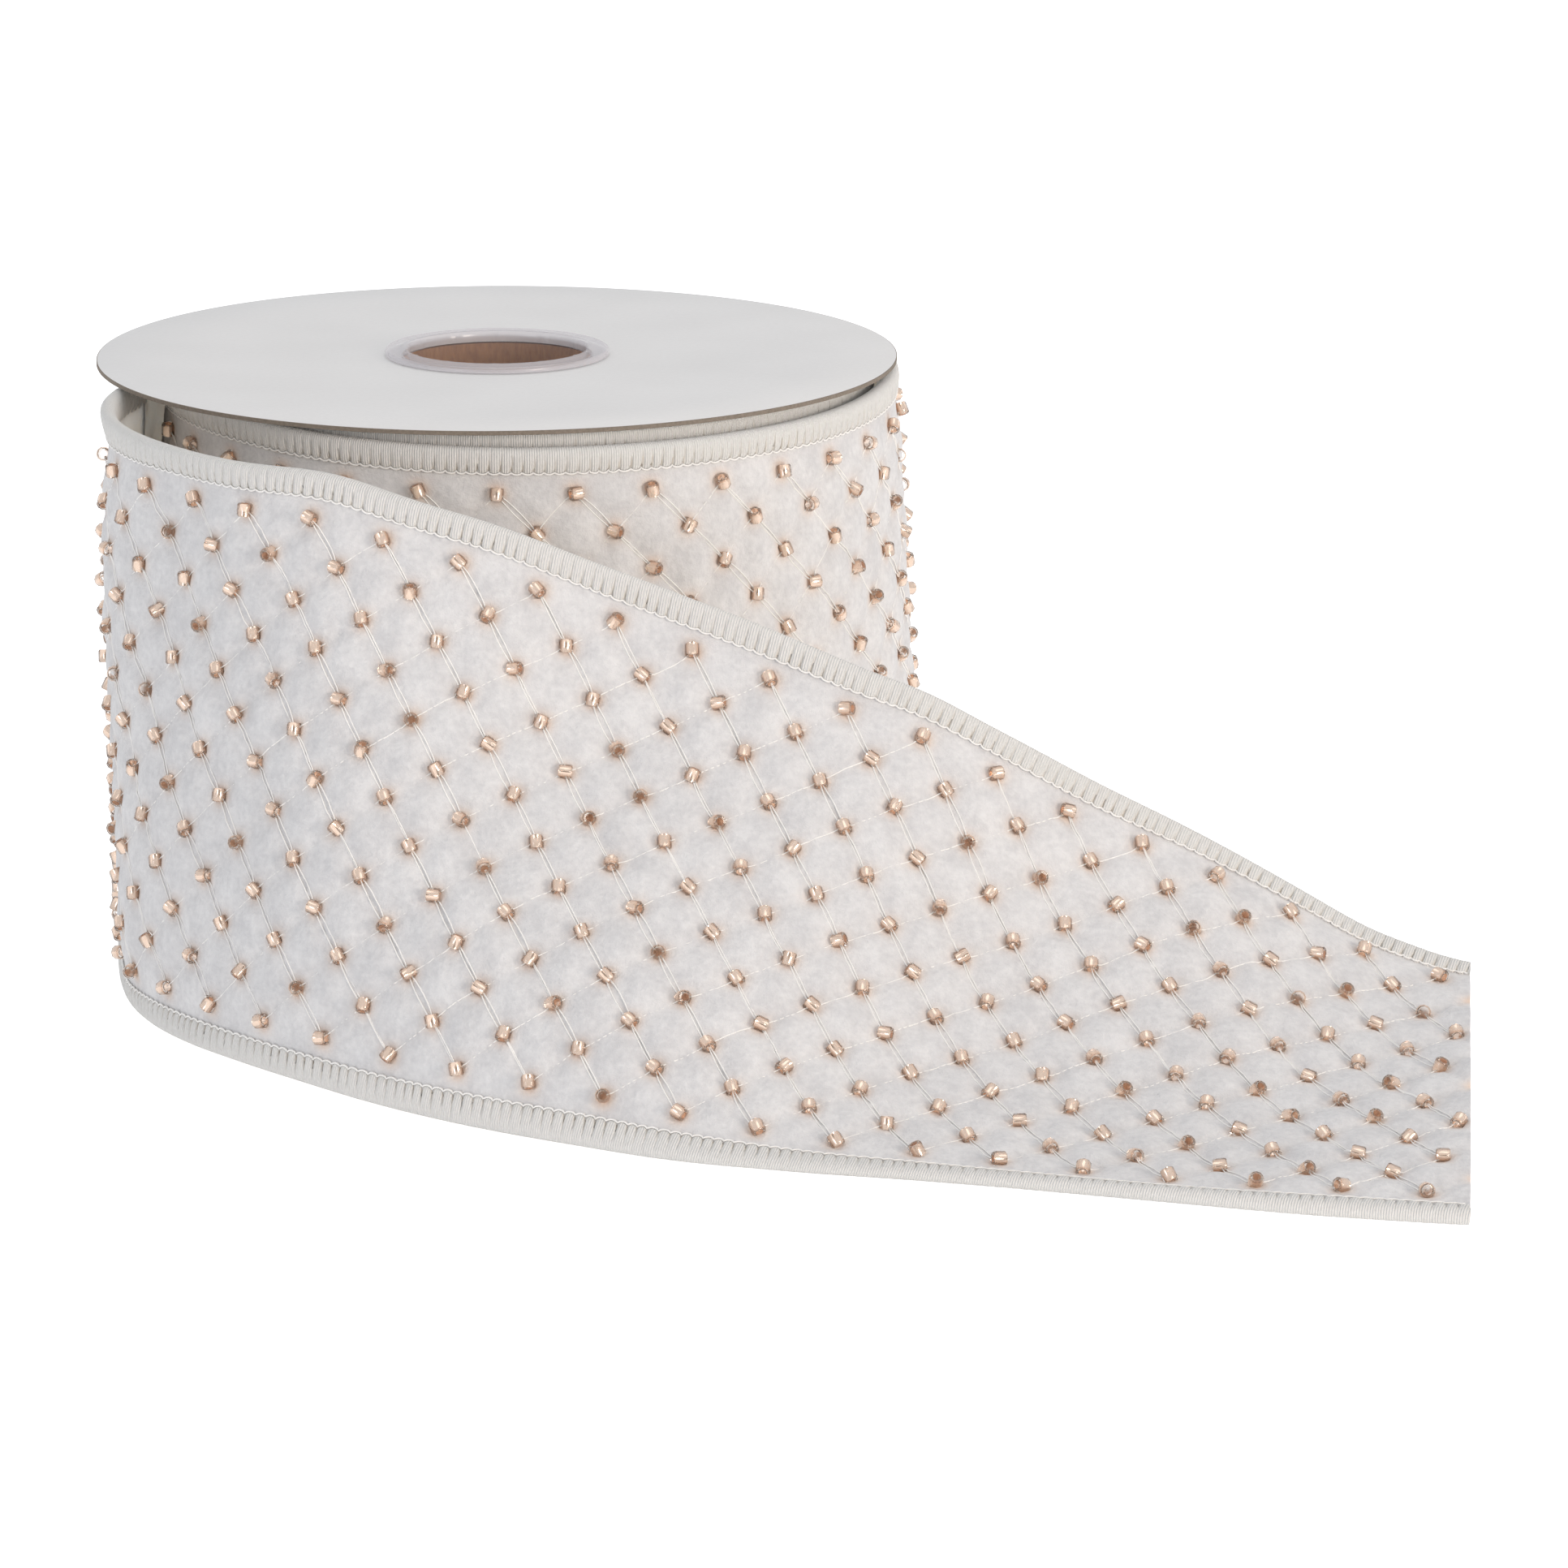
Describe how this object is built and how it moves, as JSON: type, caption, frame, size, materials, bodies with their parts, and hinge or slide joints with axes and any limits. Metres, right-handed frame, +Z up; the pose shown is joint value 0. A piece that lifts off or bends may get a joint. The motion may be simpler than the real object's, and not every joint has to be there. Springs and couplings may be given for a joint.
{
  "type": "wired ribbon on a card spool",
  "caption": "Spool of quilted velvet ribbon with wired, overlocked edges and beaded crossings. Its loose end loops off the roll and lies down to a plain cut end.",
  "frame": {"origin": "On the surface that the spool stands on, under the middle of the whole object's box, loose end included.", "axes": "+Z is up, along the spool's axis. +X is the way the loose end is drawn out, and +Y is away from its face."},
  "size_m": [0.2464, 0.2894, 0.1068],
  "materials": {
    "card": "matte",
    "brown_card": "matte",
    "clear_plastic": "clear, glossy",
    "velvet": "short pile, quilted",
    "thread": "overlocked thread"
  },
  "bodies": {
    "root": {"spool_disc_top": "card", "spool_disc_bottom": "card", "spool_core": "brown_card", "hub_ring_top": "clear_plastic", "hub_ring_bottom": "clear_plastic", "wound_ribbon": "velvet", "ribbon_tail": "velvet", "tail_wire_edge_top": "thread", "tail_wire_edge_bottom": "thread"}
  },
  "joints": []
}
